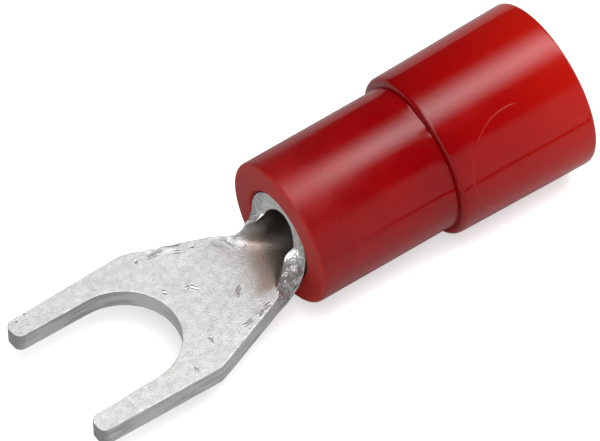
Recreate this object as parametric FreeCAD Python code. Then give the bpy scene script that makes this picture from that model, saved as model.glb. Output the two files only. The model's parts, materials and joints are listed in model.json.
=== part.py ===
import FreeCAD, Part
import math
import os

# An insulated fork terminal for an M4 stud and wire of 0.5 to 1.5 square millimetres.
# It is two pieces: a fork and crimp barrel blanked and rolled from one copper sheet, with its
# seam brazed shut, and a plastic sleeve pressed over the barrel.
# Millimetres. The origin is on the stud's axis at the underside of the tongue. +X runs from the
# stud towards the wire, +Z points up out of the sheet, and the part is symmetric about Y.

# Sheet that the fork and the barrel are made of
SHEET_THICKNESS = 0.8
BLANKED_EDGE_ROUNDING = 0.07

# Fork, seen from above
SLOT_WIDTH = 4.3
SLOT_MOUTH_WIDENING = 0.1
TINE_TIP_WIDTH = 0.87
TINE_SHOULDER_WIDTH = 1.0
TINE_REACH = 2.95
SHOULDER_REACH = 2.15
TIP_CORNER_ROUNDING = 0.25
SHOULDER_ROUNDING = 0.45

# Neck, where the flat tongue curls up into the round barrel
NECK_START_REACH = 5.5
NECK_START_WIDTH = 3.62
NECK_LENGTH = 1.3
NECK_SECTION_COUNT = 5
SECTION_POINT_COUNT = 5
NEARLY_FLAT = 0.001
# The neck's ends run into the tongue and the barrel, just inside their skins, to join cleanly
NECK_OVERLAP = 0.3
NECK_INSET = 0.01

# Crimp barrel
CONDUCTOR_BORE = 1.7
BARREL_LENGTH = 6.1
BARREL_ENTRY_CHAMFER = 0.2
BARREL_OUTER_CHAMFER = 0.1
SERRATION_COUNT = 3
SERRATION_PITCH = 1.3
SERRATION_WIDTH = 0.4
SERRATION_DEPTH = 0.1

# Sleeve
SLEEVE_CLEARANCE = 0.03
SLEEVE_FRONT_WALL = 1.12
SLEEVE_STEP_HEIGHT = 0.34
SLEEVE_MOUTH_WALL = 0.74
SLEEVE_STEP_DISTANCE = 5.85
SLEEVE_LENGTH = 11.6
SLEEVE_FRONT_ROUNDING = 0.3
SLEEVE_BORE_CHAMFER = 0.2
SLEEVE_STEP_ROUNDING = 0.12
SLEEVE_REAR_ROUNDING = 0.15
THROAT_LENGTH = 0.3
THROAT_CLEARANCE = 0.05
FUNNEL_LENGTH = 1.5
INSULATION_BORE = 5.0
MOUTH_CHAMFER = 0.2

# Worked out from the sizes above
SLOT_RADIUS = SLOT_WIDTH / 2
SLOT_MOUTH_HALF = (SLOT_WIDTH + SLOT_MOUTH_WIDENING) / 2
FORK_TIP_HALF = SLOT_MOUTH_HALF + TINE_TIP_WIDTH
FORK_SHOULDER_HALF = SLOT_RADIUS + TINE_SHOULDER_WIDTH
BORE_RADIUS = CONDUCTOR_BORE / 2
BARREL_RADIUS = BORE_RADIUS + SHEET_THICKNESS
AXIS_HEIGHT = BARREL_RADIUS
BARREL_FRONT_X = NECK_START_REACH + NECK_LENGTH
BARREL_REAR_X = BARREL_FRONT_X + BARREL_LENGTH
SLEEVE_FRONT_X = BARREL_FRONT_X
SLEEVE_REAR_X = SLEEVE_FRONT_X + SLEEVE_LENGTH
SEAT_RADIUS = BARREL_RADIUS + SLEEVE_CLEARANCE
SLEEVE_FRONT_RADIUS = SEAT_RADIUS + SLEEVE_FRONT_WALL
SLEEVE_STEP_RADIUS = SLEEVE_FRONT_RADIUS + SLEEVE_STEP_HEIGHT
MOUTH_RADIUS = INSULATION_BORE / 2
SLEEVE_REAR_RADIUS = MOUTH_RADIUS + SLEEVE_MOUTH_WALL

QUARTER_TURN = math.pi / 2
FULL_TURN_DEGREES = 360
SAME_PLACE = 1e-4


def vector(x, y, z=0.0):
    return FreeCAD.Vector(x, y, z)


def slot_tangent_point():
    """Return where the slot's wall on the +Y side leaves its round end."""
    mouth_distance = math.hypot(TINE_REACH, SLOT_MOUTH_HALF)
    mouth_angle = math.atan2(SLOT_MOUTH_HALF, -TINE_REACH)
    angle = mouth_angle - math.acos(SLOT_RADIUS / mouth_distance)
    return vector(SLOT_RADIUS * math.cos(angle), SLOT_RADIUS * math.sin(angle))


def mirrored(point):
    return vector(point.x, -point.y, point.z)


def tongue_blank():
    """Make the flat fork and tongue as they are blanked from the sheet, with sharp corners."""
    tip_outside = vector(-TINE_REACH, FORK_TIP_HALF)
    shoulder = vector(SHOULDER_REACH, FORK_SHOULDER_HALF)
    neck = vector(NECK_START_REACH, NECK_START_WIDTH / 2)
    tip_inside = vector(-TINE_REACH, SLOT_MOUTH_HALF)
    tangent = slot_tangent_point()
    slot_end = vector(SLOT_RADIUS, 0)
    side = [tip_inside, tip_outside, shoulder, neck]
    other_side = [mirrored(point) for point in reversed(side)]
    outside = [tangent] + side + other_side + [mirrored(tangent)]
    edges = [Part.LineSegment(a, b).toShape() for a, b in zip(outside, outside[1:])]
    edges.append(Part.Arc(mirrored(tangent), slot_end, tangent).toShape())
    outline = Part.Wire(Part.__sortEdges__(edges))
    return Part.Face(outline).extrude(vector(0, 0, SHEET_THICKNESS))


def upright_edges(shape, reach, half_width):
    """Find the vertical edges at a distance along X and at a distance either side of the middle."""
    found = []
    for edge in shape.Edges:
        first = edge.Vertexes[0].Point
        last = edge.Vertexes[-1].Point
        upright = abs(first.x - last.x) < SAME_PLACE and abs(first.y - last.y) < SAME_PLACE
        placed = abs(first.x - reach) < SAME_PLACE and abs(abs(first.y) - half_width) < SAME_PLACE
        if upright and placed and abs(first.z - last.z) > SAME_PLACE:
            found.append(edge)
    return found


def rim_edges(shape):
    """Find the edges round the top and the underside, apart from those where the neck begins."""
    found = []
    for edge in shape.Edges:
        box = edge.BoundBox
        flat = box.ZLength < SAME_PLACE
        at_neck = box.XMin > NECK_START_REACH - SAME_PLACE
        if flat and not at_neck:
            found.append(edge)
    return found


def tongue():
    """Make the flat fork and tongue with rounded corners and softened blanked edges."""
    blank = tongue_blank()
    tip_corners = upright_edges(blank, -TINE_REACH, FORK_TIP_HALF)
    tip_corners += upright_edges(blank, -TINE_REACH, SLOT_MOUTH_HALF)
    blank = blank.makeFillet(TIP_CORNER_ROUNDING, tip_corners)
    shoulders = upright_edges(blank, SHOULDER_REACH, FORK_SHOULDER_HALF)
    blank = blank.makeFillet(SHOULDER_ROUNDING, shoulders)
    return blank.makeFillet(BLANKED_EDGE_ROUNDING, rim_edges(blank))


def bend(points):
    """Draw one smooth line through points on the sheet's skin."""
    curve = Part.BSplineCurve()
    curve.interpolate(points)
    return curve.toShape()


def curled_section(x, half_width, rise):
    """Draw the sheet bent to an arc that ends at the given half width and height."""
    outer_radius = (half_width ** 2 + rise ** 2) / (2 * rise)
    wrap = math.atan2(half_width, outer_radius - rise)
    last = SECTION_POINT_COUNT - 1
    angles = [wrap * (2 * number / last - 1) for number in range(SECTION_POINT_COUNT)]

    def skin(radius, skin_angles):
        return [
            vector(x, radius * math.sin(angle), outer_radius - radius * math.cos(angle))
            for angle in skin_angles
        ]

    outer = skin(outer_radius - NECK_INSET, angles)
    inner = skin(outer_radius - SHEET_THICKNESS + NECK_INSET, reversed(angles))
    return Part.Wire([
        bend(outer),
        Part.LineSegment(outer[-1], inner[0]).toShape(),
        bend(inner),
        Part.LineSegment(inner[-1], outer[0]).toShape(),
    ])


def neck():
    """Loft the sheet from flat to half a ring, its two walls rising in a quarter of an ellipse."""
    start_half = NECK_START_WIDTH / 2
    sections = [curled_section(NECK_START_REACH - NECK_OVERLAP, start_half, NEARLY_FLAT)]
    for number in range(NECK_SECTION_COUNT):
        turn = QUARTER_TURN * number / (NECK_SECTION_COUNT - 1)
        along = math.sin(turn)
        rise = NEARLY_FLAT + (AXIS_HEIGHT - NEARLY_FLAT) * (1 - math.cos(turn))
        narrowing = along * (2 - along)
        half_width = start_half + (BARREL_RADIUS - start_half) * narrowing
        sections.append(curled_section(NECK_START_REACH + NECK_LENGTH * along, half_width, rise))
    sections.append(curled_section(BARREL_FRONT_X + NECK_OVERLAP, BARREL_RADIUS, AXIS_HEIGHT))
    return Part.makeLoft(sections, True, False)


def revolved(outline):
    """Turn an outline of distances along X and radii round the barrel's axis."""
    points = [vector(x, 0, AXIS_HEIGHT + radius) for x, radius in outline]
    face = Part.Face(Part.makePolygon(points + points[:1]))
    return face.revolve(vector(0, 0, AXIS_HEIGHT), vector(1, 0, 0), FULL_TURN_DEGREES)


def serration(middle_x):
    """Return the outline of one groove that bites the wire, cut round the bore."""
    half_width = SERRATION_WIDTH / 2
    return [
        (middle_x + half_width, BORE_RADIUS),
        (middle_x, BORE_RADIUS + SERRATION_DEPTH),
        (middle_x - half_width, BORE_RADIUS),
    ]


def barrel():
    """Make the rolled barrel, with its serrated bore and its chamfered rear end."""
    outline = [
        (BARREL_FRONT_X, BORE_RADIUS),
        (BARREL_FRONT_X, BARREL_RADIUS),
        (BARREL_REAR_X - BARREL_OUTER_CHAMFER, BARREL_RADIUS),
        (BARREL_REAR_X, BARREL_RADIUS - BARREL_OUTER_CHAMFER),
        (BARREL_REAR_X, BORE_RADIUS + BARREL_ENTRY_CHAMFER),
        (BARREL_REAR_X - BARREL_ENTRY_CHAMFER, BORE_RADIUS),
    ]
    middle_x = BARREL_FRONT_X + BARREL_LENGTH / 2
    for number in range(SERRATION_COUNT):
        steps_from_middle = (SERRATION_COUNT - 1) / 2 - number
        outline += serration(middle_x + steps_from_middle * SERRATION_PITCH)
    return revolved(outline)


def fork_and_barrel():
    """Join the tongue, the neck and the barrel, which are one piece of sheet."""
    whole = tongue().fuse([neck(), barrel()])
    return whole.removeSplitter()


def ring_edges(shape, x, radius):
    """Find the circles round the barrel's axis at a distance along X and with a given radius."""
    found = []
    for edge in shape.Edges:
        box = edge.BoundBox
        placed = abs(box.XMin - x) < SAME_PLACE and abs(box.XMax - x) < SAME_PLACE
        sized = abs(box.ZMax - AXIS_HEIGHT - radius) < SAME_PLACE
        if placed and sized and len(edge.Vertexes) == 1:
            found.append(edge)
    return found


def insulating_sleeve():
    """Make the moulded sleeve: a snug seat, a throat, a funnel and a wide mouth for the wire."""
    throat_radius = BORE_RADIUS + THROAT_CLEARANCE
    step_x = SLEEVE_FRONT_X + SLEEVE_STEP_DISTANCE
    seat_end_x = BARREL_REAR_X + SLEEVE_CLEARANCE
    funnel_x = seat_end_x + THROAT_LENGTH
    outline = [
        (SLEEVE_FRONT_X, SEAT_RADIUS + SLEEVE_BORE_CHAMFER),
        (SLEEVE_FRONT_X, SLEEVE_FRONT_RADIUS),
        (step_x, SLEEVE_FRONT_RADIUS),
        (step_x, SLEEVE_STEP_RADIUS),
        (SLEEVE_REAR_X, SLEEVE_REAR_RADIUS),
        (SLEEVE_REAR_X, MOUTH_RADIUS + MOUTH_CHAMFER),
        (SLEEVE_REAR_X - MOUTH_CHAMFER, MOUTH_RADIUS),
        (funnel_x + FUNNEL_LENGTH, MOUTH_RADIUS),
        (funnel_x, throat_radius),
        (seat_end_x, throat_radius),
        (seat_end_x, SEAT_RADIUS),
        (SLEEVE_FRONT_X + SLEEVE_BORE_CHAMFER, SEAT_RADIUS),
    ]
    sleeve = revolved(outline)
    front_edge = ring_edges(sleeve, SLEEVE_FRONT_X, SLEEVE_FRONT_RADIUS)
    sleeve = sleeve.makeFillet(SLEEVE_FRONT_ROUNDING, front_edge)
    step_edge = ring_edges(sleeve, step_x, SLEEVE_STEP_RADIUS)
    sleeve = sleeve.makeFillet(SLEEVE_STEP_ROUNDING, step_edge)
    rear_edge = ring_edges(sleeve, SLEEVE_REAR_X, SLEEVE_REAR_RADIUS)
    return sleeve.makeFillet(SLEEVE_REAR_ROUNDING, rear_edge)


NODES = {
    "fork_and_barrel": fork_and_barrel,
    "insulating_sleeve": insulating_sleeve,
}

os.makedirs("parts", exist_ok=True)
for node_name, make_node in NODES.items():
    node_shape = make_node()
    node_shape.exportStep(os.path.join("parts", node_name + ".step"))
    print(node_name, "solids", len(node_shape.Solids), "valid", node_shape.isValid(),
          "volume", round(node_shape.Volume, 3))
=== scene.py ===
import json
import math

import bmesh
import bpy
from mathutils import Matrix, Vector, noise


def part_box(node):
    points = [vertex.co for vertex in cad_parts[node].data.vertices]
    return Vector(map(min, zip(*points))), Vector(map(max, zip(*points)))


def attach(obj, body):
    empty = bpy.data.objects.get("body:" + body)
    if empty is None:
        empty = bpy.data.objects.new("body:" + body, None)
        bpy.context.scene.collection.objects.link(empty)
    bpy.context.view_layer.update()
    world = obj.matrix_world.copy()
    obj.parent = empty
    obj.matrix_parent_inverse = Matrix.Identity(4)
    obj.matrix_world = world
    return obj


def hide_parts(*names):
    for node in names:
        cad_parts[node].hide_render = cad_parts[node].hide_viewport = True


# An insulated fork terminal. The tinned fork is one sheet: a flat fork, a neck that curls up and
# a rolled barrel. The red sleeve is one moulded tube with a step and a wide mouth for the wire.
# +X runs from the stud towards the wire, +Z points up out of the tongue. Lengths are in metres.

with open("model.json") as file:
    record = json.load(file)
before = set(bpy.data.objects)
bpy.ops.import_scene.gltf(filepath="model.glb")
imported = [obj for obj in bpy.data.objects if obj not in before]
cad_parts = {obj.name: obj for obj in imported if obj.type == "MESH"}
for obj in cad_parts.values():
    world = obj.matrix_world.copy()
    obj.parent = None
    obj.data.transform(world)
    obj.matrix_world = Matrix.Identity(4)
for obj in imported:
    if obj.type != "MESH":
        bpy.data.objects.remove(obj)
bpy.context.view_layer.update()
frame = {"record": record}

MM = 0.001
FULL_TURN = 2 * math.pi
QUARTER_TURN = math.pi / 2
X_AXIS = Vector((1, 0, 0))

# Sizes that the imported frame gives
fork_low, fork_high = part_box("fork_and_barrel")
sleeve_low, sleeve_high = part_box("insulating_sleeve")
mounts = {mount["name"]: mount for mount in frame["record"]["mounts"]}
SLOT_RADIUS = mounts["stud_slot"]["dims"]["r_mm"] * MM
SHEET = mounts["stud_slot"]["dims"]["length_mm"] * MM
CONDUCTOR_RADIUS = mounts["conductor_bore"]["dims"]["r_mm"] * MM
INSULATION_RADIUS = mounts["insulation_entry"]["dims"]["r_mm"] * MM
INSULATION_BORE_LENGTH = mounts["insulation_entry"]["dims"]["length_mm"] * MM
BARREL_RADIUS = fork_high.z / 2
AXIS_HEIGHT = BARREL_RADIUS
BARREL_REAR_X = fork_high.x
TIP_X = fork_low.x
SLEEVE_FRONT_X = sleeve_low.x
SLEEVE_REAR_X = sleeve_high.x
SLEEVE_REAR_RADIUS = (sleeve_high.z - sleeve_low.z) / 2

# Sizes of the fork that the frame's boxes don't give, as in the construction
SLOT_MOUTH_HALF = 2.2 * MM
TIP_HALF = 3.07 * MM
SHOULDER_X = 2.15 * MM
SHOULDER_HALF = 3.15 * MM
NECK_X = 5.5 * MM
NECK_HALF = 1.81 * MM

# Sizes of the sleeve that the frame's boxes don't give
SEAT_RADIUS = 1.68 * MM
SLEEVE_FRONT_RADIUS = 2.8 * MM
SLEEVE_STEP_RADIUS = 3.14 * MM
SLEEVE_STEP_X = 12.65 * MM


def place(shape, name):
    """Turn a bmesh into a scene object with smooth faces."""
    mesh = bpy.data.meshes.new(name)
    shape.to_mesh(mesh)
    shape.free()
    for face in mesh.polygons:
        face.use_smooth = True
    piece = bpy.data.objects.new(name, mesh)
    bpy.context.scene.collection.objects.link(piece)
    return piece


def between(first, last, share):
    return first + (last - first) * share


# Fork and barrel

TINE_STATIONS = 18
SHOULDER_STATIONS = 6
TAPER_STATIONS = 11
NECK_STATIONS = 8
BAND_ROWS = 11
SIDE_CUTS = 2
# How closely the tines' stations crowd towards their tips; 1 would space them evenly
TIP_CROWDING = 1.5
TINE_END_X = 0.9 * MM
SHOULDER_ANGLE = math.radians(70)
NECK_ANGLE = math.radians(34)
TIP_ROUNDING = 0.3 * MM
NECK_ROWS = 10
BARREL_ROWS = 14
BARREL_COLUMNS = 4 * NECK_STATIONS
FORK_LEVELS = 2
EDGE_ROUNDING = 0.07 * MM
EDGE_SEGMENTS = 2
SHARP_ANGLE = math.radians(60)
FLAT_RISE = 0.001 * MM
MERGE_DISTANCE = 0.01 * MM


def slot_tangent_angle():
    """Return the angle about the stud at which the slot's straight wall meets its round end."""
    mouth_distance = math.hypot(TIP_X, SLOT_MOUTH_HALF)
    mouth_angle = math.atan2(SLOT_MOUTH_HALF, TIP_X)
    return mouth_angle - math.acos(SLOT_RADIUS / mouth_distance)


def on_slot(angle):
    return Vector((SLOT_RADIUS * math.cos(angle), SLOT_RADIUS * math.sin(angle), 0))


def fork_stations():
    """List pairs of points, on the slot's wall and on the fork's outer edge, from tip to middle."""
    tangent_angle = slot_tangent_angle()
    mouth = Vector((TIP_X, SLOT_MOUTH_HALF, 0))
    tip = Vector((TIP_X, TIP_HALF, 0))
    shoulder = Vector((SHOULDER_X, SHOULDER_HALF, 0))
    tine_end = tip.lerp(shoulder, (TINE_END_X - TIP_X) / (SHOULDER_X - TIP_X))
    neck = Vector((NECK_X, NECK_HALF, 0))
    middle = Vector((NECK_X, 0, 0))
    pairs = []
    for number in range(TINE_STATIONS):
        share = (number / TINE_STATIONS) ** TIP_CROWDING
        pairs.append((mouth.lerp(on_slot(tangent_angle), share), tip.lerp(tine_end, share)))
    spans = [
        (SHOULDER_STATIONS, tangent_angle, SHOULDER_ANGLE, tine_end, shoulder),
        (TAPER_STATIONS, SHOULDER_ANGLE, NECK_ANGLE, shoulder, neck),
        (NECK_STATIONS, NECK_ANGLE, 0, neck, middle),
    ]
    for count, first_angle, last_angle, first_point, last_point in spans:
        for number in range(count):
            share = number / count
            angle = between(first_angle, last_angle, share)
            pairs.append((on_slot(angle), first_point.lerp(last_point, share)))
    pairs.append((on_slot(0), middle))
    return pairs


def round_tip(point, inside, outside):
    """Draw a point of a tine's square end in to a rounded corner."""
    nearer, farther = sorted((inside, outside), key=lambda edge: abs(point.y - edge.y))
    from_end = point.x - TIP_X
    from_side = abs(point.y - nearer.y)
    width = abs(outside.y - inside.y)
    if from_end >= TIP_ROUNDING or from_side >= TIP_ROUNDING or width < TIP_ROUNDING:
        return point
    along = 1 - from_end / TIP_ROUNDING
    across = 1 - from_side / TIP_ROUNDING
    drawn_in = (1 - max(along, across) / math.hypot(along, across)) * TIP_ROUNDING
    side = math.copysign(1, nearer.y - farther.y)
    return point + Vector((along * drawn_in, -side * across * drawn_in, 0))


def fork_face():
    """Lay a grid over the flat fork, as a band round its slot, from one tip to the other."""
    pairs = fork_stations()
    mirror = Vector((1, -1, 1))
    pairs += [(inside * mirror, outside * mirror) for inside, outside in reversed(pairs[:-1])]
    shape = bmesh.new()
    bmesh.ops.create_grid(shape, x_segments=len(pairs) - 1, y_segments=BAND_ROWS, size=1)
    for vertex in shape.verts:
        station = round((vertex.co.x + 1) / 2 * (len(pairs) - 1))
        across = (vertex.co.y + 1) / 2
        inside, outside = pairs[station]
        point = inside.lerp(outside, across)
        vertex.co = round_tip(point, inside, outside)
    return shape


def neck_section(x):
    """Return the radius of the neck's bent sheet at x, and the angle from its middle to its edge."""
    reach = min(max((x - NECK_X) / (SLEEVE_FRONT_X - NECK_X), 0), 1)
    rise = max(AXIS_HEIGHT * (1 - math.sqrt(1 - reach ** 2)), FLAT_RISE)
    half_width = between(NECK_HALF, BARREL_RADIUS, reach * (2 - reach))
    radius = (half_width ** 2 + rise ** 2) / (2 * rise)
    return radius, math.atan2(half_width, radius - rise)


def neck_point(along, side):
    """Place a point of the underside of the curling sheet; side runs from -1 to 1."""
    x = between(NECK_X, SLEEVE_FRONT_X, math.sin(QUARTER_TURN * along))
    radius, edge_angle = neck_section(x)
    angle = side * edge_angle
    return Vector((x, radius * math.sin(angle), radius - radius * math.cos(angle)))


def add_neck(shape):
    """Lay a grid over the neck, from the flat tongue to half of the barrel's front ring."""
    made = bmesh.ops.create_grid(shape, x_segments=NECK_ROWS, y_segments=2 * NECK_STATIONS, size=1)
    for vertex in made["verts"]:
        vertex.co = neck_point((vertex.co.x + 1) / 2, vertex.co.y)


def add_barrel(shape):
    """Roll the barrel's skin round its axis."""
    first = shape.verts.new((SLEEVE_FRONT_X, 0, 0))
    points = [first]
    for number in range(1, BARREL_ROWS + 1):
        x = between(SLEEVE_FRONT_X, BARREL_REAR_X, number / BARREL_ROWS)
        points.append(shape.verts.new((x, 0, 0)))
    edges = [shape.edges.new(pair) for pair in zip(points, points[1:])]
    centre = Vector((0, 0, AXIS_HEIGHT))
    bmesh.ops.spin(shape, geom=points + edges, cent=centre, axis=X_AXIS, angle=FULL_TURN,
                   steps=BARREL_COLUMNS, use_merge=True)


def mark_cut_sides(shape, skin_points):
    """Note the faces that the shear cut: they join the sheet's two skins."""
    cut_side = shape.faces.layers.float.new("cut_side")
    for face in shape.faces:
        on_first_skin = [vertex in skin_points for vertex in face.verts]
        face[cut_side] = float(any(on_first_skin) and not all(on_first_skin))


def divide_cut_sides(shape, skin_points):
    """Give the sheet's cut sides a few rows of faces for their own small shapes."""
    across = [
        edge for edge in shape.edges
        if (edge.verts[0] in skin_points) != (edge.verts[1] in skin_points)
    ]
    bmesh.ops.subdivide_edges(shape, edges=across, cuts=SIDE_CUTS, use_grid_fill=True)


def soften_rims(shape):
    """Round the long edges where the sheet's skins meet its cut sides."""
    rims = []
    for edge in shape.edges:
        if len(edge.link_faces) == 2 and edge.calc_face_angle() > SHARP_ANGLE:
            rims.append(edge)
    bmesh.ops.bevel(shape, geom=rims, offset=EDGE_ROUNDING, segments=EDGE_SEGMENTS, profile=0.5,
                    affect="EDGES", material=-1, clamp_overlap=True)


def apply_modifiers(piece):
    """Turn a piece and its modifiers into one plain mesh."""
    depsgraph = bpy.context.evaluated_depsgraph_get()
    mesh = bpy.data.meshes.new_from_object(piece.evaluated_get(depsgraph))
    piece.modifiers.clear()
    piece.data = mesh
    return mesh


def blend(low, high, value):
    """Rise smoothly from 0 at low to 1 at high."""
    share = min(max((value - low) / (high - low), 0), 1)
    return share * share * (3 - 2 * share)


def ripple(point, features_per_mm, seed):
    """Return a smooth random value between about -1 and 1 at a point."""
    return noise.noise(point * (features_per_mm / MM) + Vector((seed, seed, seed)))


def roughness_at(point, features_per_mm, seed):
    """Return a smooth random value between about 0 and 1 at a point."""
    return (1 + ripple(point, features_per_mm, seed)) / 2


def height_in_sheet(point):
    """Measure how far a point lies inside the sheet's under or outer skin."""
    if point.x <= NECK_X:
        return point.z
    if point.x >= SLEEVE_FRONT_X:
        return BARREL_RADIUS - math.hypot(point.y, point.z - AXIS_HEIGHT)
    radius = neck_section(point.x)[0]
    return radius - math.hypot(point.y, radius - point.z)


def towards_edge(point):
    """Return 0 in the middle of the neck's bent sheet and 1 at its edges."""
    radius, edge_angle = neck_section(point.x)
    return math.atan2(abs(point.y), radius - point.z) / edge_angle


def groove(distance, width):
    """Return the depth of a rounded groove, from 1 on its line to 0 beside it."""
    return math.exp(-(distance / width) ** 2)


def distance_to_line(point, first, last):
    """Measure the flat distance from a point to a line between two points."""
    span = last - first
    share = min(max((point - first).dot(span) / span.length_squared, 0), 1)
    return (point - first - span * share).length


# Ripples, as features per mm and the seed of their pattern
SHEET_RIPPLES = (0.9, 1)
SHEAR_RIPPLES = (5, 2)
RIM_RIPPLES = (4, 3)
COARSE_LUMPS = (2.2, 4)
FINE_LUMPS = (5, 5)
BURR_RIPPLES = (3.5, 7)
CREASE_RIPPLES = (1.5, 8)

# Depths and heights of the wear
WAVINESS = 0.012 * MM
CUT_STREAKS = 0.022 * MM
STREAK_SQUASH = Vector((1, 1, 0.2))
RIM_UNEVENNESS = 0.03 * MM
CRUMPLE_DEPTH = 0.17 * MM
COARSE_SHARE = 0.6
CRUMPLE_SINK = 0.4
RIM_TEAR = 0.5
SKIN_TEAR = 0.4
FLARE = 0.08 * MM
LEAN = 0.42 * MM
LEAN_OUTSIDE = 0.2

# Marks pressed across the tines
MARK_DEPTH = 0.03 * MM
MARK_WIDTH = 0.05 * MM
TIP_PRESS_DEPTH = 0.015 * MM
TIP_PRESS_EDGE = 2 * MARK_WIDTH
LEFT_MARK_X = 0.5 * MM
LEFT_MARK_INNER_Y = 2.4 * MM
RIGHT_MARK_X = -1.33 * MM

# Burr along the fork's tapering edges, and creases where the sheet starts to curl
BURR_HEIGHT = 0.035 * MM
BURR_REACH = 0.35 * MM
BURR_GROWS = (2.2 * MM, 2.2 * MM + 2 * BURR_REACH)
BURR_FADES = (4.7 * MM - 2 * BURR_REACH, 4.7 * MM)
CREASE_DEPTH = 0.02 * MM
CREASE_WIDTH = 0.07 * MM
CREASE_WANDER = 0.09 * MM
# Each crease runs between two points, as x and y in mm
CREASES = (
    ((5.12, 1.78), (5.3, 0.9)),
    ((5.28, 1.8), (5.42, 1.0)),
    ((5.5, 1.72), (5.6, 1.15)),
)

# Stretches over which something grows from nothing to all
FLARE_GROWS = (NECK_X + 0.5 * MM, SLEEVE_FRONT_X)
FLARE_FADES = (SLEEVE_FRONT_X, SLEEVE_FRONT_X + 1.2 * MM)
FLARE_HEIGHTS = (0.6 * MM, 1.5 * MM)
LEAN_HEIGHTS = (AXIS_HEIGHT, 2 * AXIS_HEIGHT)
LEAN_FADES = (SLEEVE_FRONT_X + 0.2 * MM, SLEEVE_FRONT_X + 1.6 * MM)
INNER_SHEET = (0.3 * SHEET, 0.9 * SHEET)
UPPER_SKIN = (0.6 * SHEET, 0.9 * SHEET)
CUT_FADES = (5.2 * MM, 6 * MM)
CUT_FADE = 0.6
TORN_GROWS = (5.4 * MM, 6.1 * MM)
TORN_FADES = (7.2 * MM, 7.7 * MM)
TORN_SIDES = (0.9 * MM, 1.3 * MM)
NECK_EDGE = (0.6, 0.92)
NECK_ENDS = (6.7 * MM, 7.4 * MM)
# The bore's tint is oxide brown and painted shade, growing deeper into the barrel and lifted near the
# neck's edges.
BORE_DARKENS = (4.5 * MM, 6.9 * MM)
BORE_SLANT = 0.4
EDGE_LIGHTENING = 0.85
SKIN_MASKS = ("cut", "bore", "rim", "torn")


def open_front(point, height):
    """Lean the barrel's front back towards its seam, and flare its bore, as the roll left it."""
    flare = FLARE * blend(*FLARE_GROWS, point.x) * (1 - blend(*FLARE_FADES, point.x))
    flare *= blend(*FLARE_HEIGHTS, point.z)
    inner = blend(*INNER_SHEET, height)
    lean = LEAN * blend(*LEAN_HEIGHTS, point.z) * (1 - blend(*LEAN_FADES, point.x))
    outwards = Vector((0, point.y, point.z - AXIS_HEIGHT)).normalized()
    return outwards * (flare * inner) + X_AXIS * (lean * between(LEAN_OUTSIDE, 1, inner))


def press_marks(point):
    """Return the depth of the line across each tine and of the pressed tip beyond it."""
    mark_x = LEFT_MARK_X if point.y > 0 else RIGHT_MARK_X
    depth = TIP_PRESS_DEPTH * (1 - blend(mark_x - TIP_PRESS_EDGE, mark_x, point.x))
    if point.y > LEFT_MARK_INNER_Y or point.y < 0:
        depth += MARK_DEPTH * groove(point.x - mark_x, MARK_WIDTH)
    return depth


def burr(point, flat):
    """Return the height of the ragged burr along the left tapering edge."""
    from_edge = distance_to_line(flat, Vector((SHOULDER_X, SHOULDER_HALF)), Vector((NECK_X, NECK_HALF)))
    along = blend(*BURR_GROWS, point.x) * (1 - blend(*BURR_FADES, point.x))
    return BURR_HEIGHT * along * groove(from_edge, BURR_REACH) * ripple(point, *BURR_RIPPLES)


def creases(point, flat):
    """Return the depth of the wandering creases."""
    wander = CREASE_WANDER * ripple(point, *CREASE_RIPPLES)
    depth = 0
    for first, last in CREASES:
        distance = distance_to_line(flat, Vector(first) * MM, Vector(last) * MM) + wander
        depth += CREASE_DEPTH * groove(distance, CREASE_WIDTH)
    return depth


def top_relief(point, side_share):
    """Return how far handling and pressing lift or sink the fork's upper face at a point."""
    flat = Vector((point.x, point.y))
    return (burr(point, flat) - press_marks(point) - creases(point, flat)) * (1 - side_share)


def torn_here(point, share):
    """Return how much the rolling tore the edge of the sheet at a point of the neck."""
    along = blend(*TORN_GROWS, point.x) * (1 - blend(*TORN_FADES, point.x))
    return share * along * blend(*TORN_SIDES, abs(point.y))


def cut_shares(mesh):
    """Return, for each point, the share of its faces that the shear cut."""
    side_of_face = mesh.attributes["cut_side"].data
    totals = [0] * len(mesh.vertices)
    counts = [0] * len(mesh.vertices)
    for face in mesh.polygons:
        for index in face.vertices:
            totals[index] += side_of_face[face.index].value
            counts[index] += 1
    return [total / count for total, count in zip(totals, counts)]


def skin_at(point, side_share):
    """Return how much a point counts as upper skin, as rim and as edge of the neck, from 0 to 1."""
    upper = blend(*UPPER_SKIN, height_in_sheet(point))
    rim = 4 * side_share * (1 - side_share)
    near_edge = blend(*NECK_EDGE, towards_edge(point)) * (1 - blend(*NECK_ENDS, point.x))
    return upper, rim, near_edge


def colour_masks_at(point, side_share):
    """Return the masks that the metal's colour follows at a point, from 0 to 1: painted light on the cut
    sides, wear and a painted highlight on the rims, and oxide and painted shade in the bore.
    """
    upper, rim, near_edge = skin_at(point, side_share)
    dark = upper * blend(*BORE_DARKENS, point.x - BORE_SLANT * point.y)
    return {
        "cut": side_share * (1 - CUT_FADE * blend(*CUT_FADES, point.x)),
        "rim": rim,
        "torn": torn_here(point, max(side_share, rim, upper * near_edge)),
        "bore": dark * (1 - EDGE_LIGHTENING * near_edge),
    }


def wear_at(point, side_share):
    """Return how far the skin is lifted at a point by waves, streaks, tears and marks."""
    upper, rim, near_edge = skin_at(point, side_share)
    shift = -WAVINESS * roughness_at(point, *SHEET_RIPPLES)
    shift -= CUT_STREAKS * side_share * roughness_at(point * STREAK_SQUASH, *SHEAR_RIPPLES)
    shift -= RIM_UNEVENNESS * rim * roughness_at(point, *RIM_RIPPLES)
    torn = torn_here(point, max(side_share, RIM_TEAR * rim, SKIN_TEAR * upper * near_edge))
    lumps = between(ripple(point, *FINE_LUMPS), ripple(point, *COARSE_LUMPS), COARSE_SHARE)
    shift += CRUMPLE_DEPTH * torn * (lumps - CRUMPLE_SINK)
    if point.x < SLEEVE_FRONT_X:
        shift += upper * top_relief(point, side_share)
    return shift


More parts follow.
